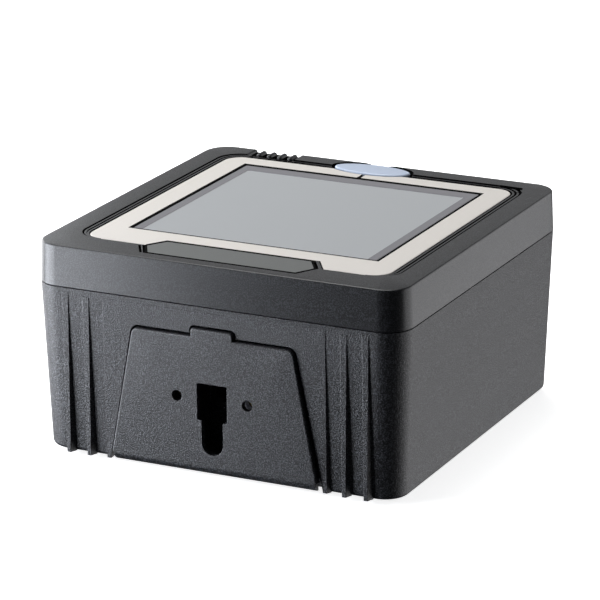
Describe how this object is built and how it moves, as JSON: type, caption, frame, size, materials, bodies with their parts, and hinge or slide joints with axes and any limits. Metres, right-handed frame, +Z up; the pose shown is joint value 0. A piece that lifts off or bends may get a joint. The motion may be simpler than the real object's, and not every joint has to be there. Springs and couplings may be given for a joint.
{
  "type": "flatbed barcode scanner",
  "caption": "Square in-counter omnidirectional laser barcode scanner with a glass window on top, a press button and a tilting cable cover in front.",
  "frame": {"origin": "on the counter plane that the feet rest on, under the centre of the case", "axes": "+X to the right seen from the cable cover side, +Y to the back, away from the cable cover, +Z up through the window"},
  "size_m": [0.152, 0.1532, 0.0825],
  "materials": {
    "case_plastic": "spark-textured black moulded ABS",
    "cover_plastic": "finely textured black moulded ABS",
    "plate_metal": "satin champagne",
    "nameplate": "dark grey anodised, blank",
    "glass": "polished coated glass",
    "mask": "printed dark border",
    "rubber": "matt black",
    "button_lens": "pale blue translucent",
    "spring_steel": "bright",
    "screw_steel": "zinc plated",
    "brass": "knurled",
    "bronze": "sintered bronze",
    "laser_brass": "turned",
    "board_green": "solder-masked laminate",
    "chip_black": "moulded epoxy",
    "header_white": "nylon",
    "capacitor": "drawn cans",
    "led": "clear epoxy",
    "jack_black": "moulded",
    "ribbon": "grey ribbon",
    "lead_red": "insulated wire",
    "speaker": "moulded basket",
    "chassis_plastic": "matt black, glass filled",
    "mirror": "first-surface mirror",
    "motor_steel": "plated",
    "winding": "enamelled copper",
    "alloy": "cast",
    "lens": "polished lens"
  },
  "bodies": {
    "scanner_case": {"bearing_sleeve": "bronze", "board_capacitors": "capacitor", "board_chips": "chip_black", "board_headers": "header_white", "board_screws": "screw_steel", "button_springs": "spring_steel", "case_screws": "screw_steel", "chassis_screws": "screw_steel", "collector_mirror": "mirror", "condenser_lens": "lens", "cover_inserts": "brass", "detector_board": "board_green", "feet": "rubber", "frame_plate": "plate_metal", "housing": "case_plastic", "interface_board": "board_green", "interface_jack": "jack_black", "interface_ribbon": "ribbon", "key_board": "board_green", "key_ribbon": "ribbon", "key_screws": "screw_steel", "key_switch": "chip_black", "laser_holder": "alloy", "laser_module": "laser_brass", "laser_screws": "screw_steel", "main_board": "board_green", "mirror_clips": "spring_steel", "motor_board": "board_green", "motor_plate": "motor_steel", "motor_screws": "screw_steel", "nameplate": "nameplate", "optical_chassis": "chassis_plastic", "pattern_mirror_1": "mirror", "pattern_mirror_2": "mirror", "pattern_mirror_3": "mirror", "pattern_mirror_4": "mirror", "pattern_mirror_5": "mirror", "pattern_mirror_6": "mirror", "perimeter_seal": "rubber", "photodetector": "chip_black", "scan_window": "glass", "speaker": "speaker", "speaker_lead": "lead_red", "stator": "winding", "status_leds": "led", "top_cover": "cover_plastic", "window_gasket": "rubber", "window_mask": "mask"},
    "button": {"touch_button": "button_lens"},
    "cable_door": {"cable_cover": "case_plastic"},
    "polygon": {"motor_shaft": "motor_steel", "rotor_cup": "motor_steel", "polygon_mirror": "mirror", "polygon_clip": "spring_steel"}
  },
  "joints": [
    {"name": "button_press", "type": "slide", "parent": "scanner_case", "child": "button", "axis": [0, 0, -1], "range_m": [0, 0.0007], "stiffness_N_per_m": 900, "deforming": ["button_springs"]},
    {"name": "cable_door_tilt", "type": "hinge", "parent": "scanner_case", "child": "cable_door", "pos_m": [0, -0.0736, 0.0053], "axis": [1, 0, 0], "range_deg": [0, 75]},
    {"name": "polygon_spin", "type": "hinge", "parent": "scanner_case", "child": "polygon", "pos_m": [0, 0.008, 0.031], "axis": [0, 0, 1], "continuous": true}
  ]
}
